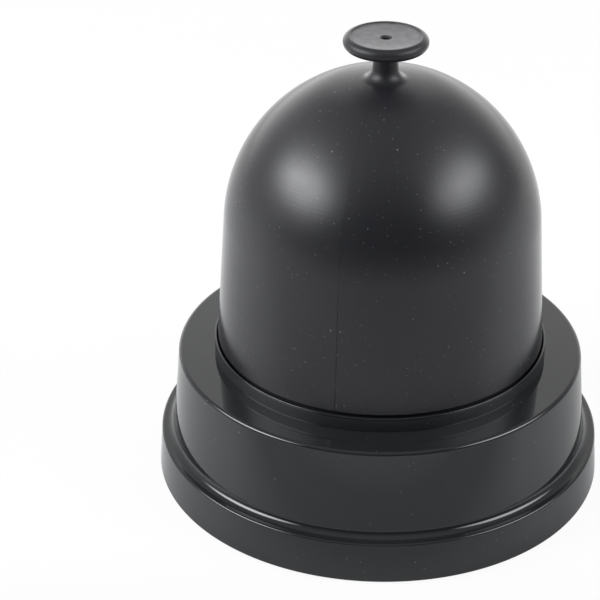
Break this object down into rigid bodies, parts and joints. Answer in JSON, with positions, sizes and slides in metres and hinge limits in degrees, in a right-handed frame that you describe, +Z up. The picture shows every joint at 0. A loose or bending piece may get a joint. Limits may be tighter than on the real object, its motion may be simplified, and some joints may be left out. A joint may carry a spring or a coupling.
{
  "type": "automatic dice shaker",
  "caption": "Battery-driven dice shaker: a black bell-shaped dome with a knob stands on a sprung ring in a two-step round base and is pressed to spin the ribbed turntable under the dice.",
  "frame": {"origin": "on the table, on the axis of the dome and the turntable", "axes": "+Z up out of the knob, the motor towards -X, the batteries towards +X, and the picture looks along +Y"},
  "size_m": [0.135, 0.135, 0.1401],
  "materials": {
    "dome_plastic": "satin",
    "housing_plastic": "polished",
    "cover_plastic": "satin",
    "foot_rubber": "matt",
    "ring_plastic": "satin",
    "table_plastic": "smooth",
    "deck_plastic": "satin",
    "gear_plastic": "smooth acetal",
    "washer_plastic": "smooth nylon",
    "cap_plastic": "smooth nylon",
    "switch_plastic": "matt",
    "plunger_plastic": "smooth",
    "screw_steel": "nickel plated",
    "spring_steel": "bright spring wire",
    "spindle_steel": "ground",
    "clip_steel": "dull spring steel",
    "can_steel": "zinc plated",
    "magnet_ferrite": "sintered, matt",
    "core_steel": "laminated",
    "winding_copper": "enamelled copper wire",
    "bush_bronze": "sintered",
    "pinion_brass": "machined",
    "contact_brass": "tinned",
    "contact_steel": "nickel plated",
    "cell_sleeve": "printed film sleeve, plain",
    "red_insulation": "soft PVC",
    "black_insulation": "soft PVC"
  },
  "bodies": {
    "base": {"top_housing": "housing_plastic", "bottom_cover": "cover_plastic", "rubber_feet": "foot_rubber", "housing_screws": "screw_steel", "return_springs": "spring_steel", "spindle_bush": "bush_bronze", "thrust_washer": "washer_plastic", "gear_deck": "deck_plastic", "deck_screws": "screw_steel", "motor_can": "can_steel", "motor_magnets": "magnet_ferrite", "motor_end_cap": "cap_plastic", "motor_terminals": "contact_brass", "switch_body": "switch_plastic", "switch_terminals": "contact_brass", "battery_cell_1": "cell_sleeve", "battery_cell_2": "cell_sleeve", "battery_cell_3": "cell_sleeve", "contact_springs": "spring_steel", "contact_plates": "contact_steel", "battery_wire": "red_insulation", "switch_wire": "red_insulation", "return_wire": "black_insulation"},
    "press_ring": {"press_ring": "ring_plastic"},
    "dome": {"dome": "dome_plastic"},
    "turntable": {"turntable": "table_plastic", "turntable_screw": "screw_steel", "spindle": "spindle_steel", "spindle_clip": "clip_steel", "drive_gear": "gear_plastic"},
    "motor_rotor": {"motor_shaft": "spindle_steel", "motor_armature": "core_steel", "motor_windings": "winding_copper", "motor_pinion": "pinion_brass"},
    "switch_plunger": {"switch_plunger": "plunger_plastic"},
    "battery_door": {"battery_door": "cover_plastic"}
  },
  "joints": [
    {"name": "press", "type": "slide", "parent": "base", "child": "press_ring", "axis": [0, 0, 1], "range_m": [-0.0005, 0], "stiffness_N_per_m": 1000, "springref_m": 0.003, "deforming": ["return_springs"]},
    {"name": "dome_lift", "type": "slide", "parent": "press_ring", "child": "dome", "axis": [0, 0, 1], "range_m": [0, 0.08]},
    {"name": "turntable_spin", "type": "hinge", "parent": "base", "child": "turntable", "pos_m": [0, 0, 0.0411], "axis": [0, 0, 1], "continuous": true},
    {"name": "motor_spin", "type": "hinge", "parent": "base", "child": "motor_rotor", "pos_m": [-0.024, 0, 0.0302], "axis": [0, 0, 1], "continuous": true},
    {"name": "switch_press", "type": "slide", "parent": "base", "child": "switch_plunger", "axis": [0, 0, 1], "range_m": [-0.0005, 0]},
    {"name": "battery_door_hinge", "type": "hinge", "parent": "base", "child": "battery_door", "pos_m": [0.02575, 0.02875, 0.0023], "axis": [1, 0, 0], "range_deg": [0, 100]}
  ],
  "couplings": [
    {"joint": "motor_spin", "follows": "turntable_spin", "ratio": -4},
    {"joint": "switch_press", "follows": "press", "ratio": 1}
  ]
}
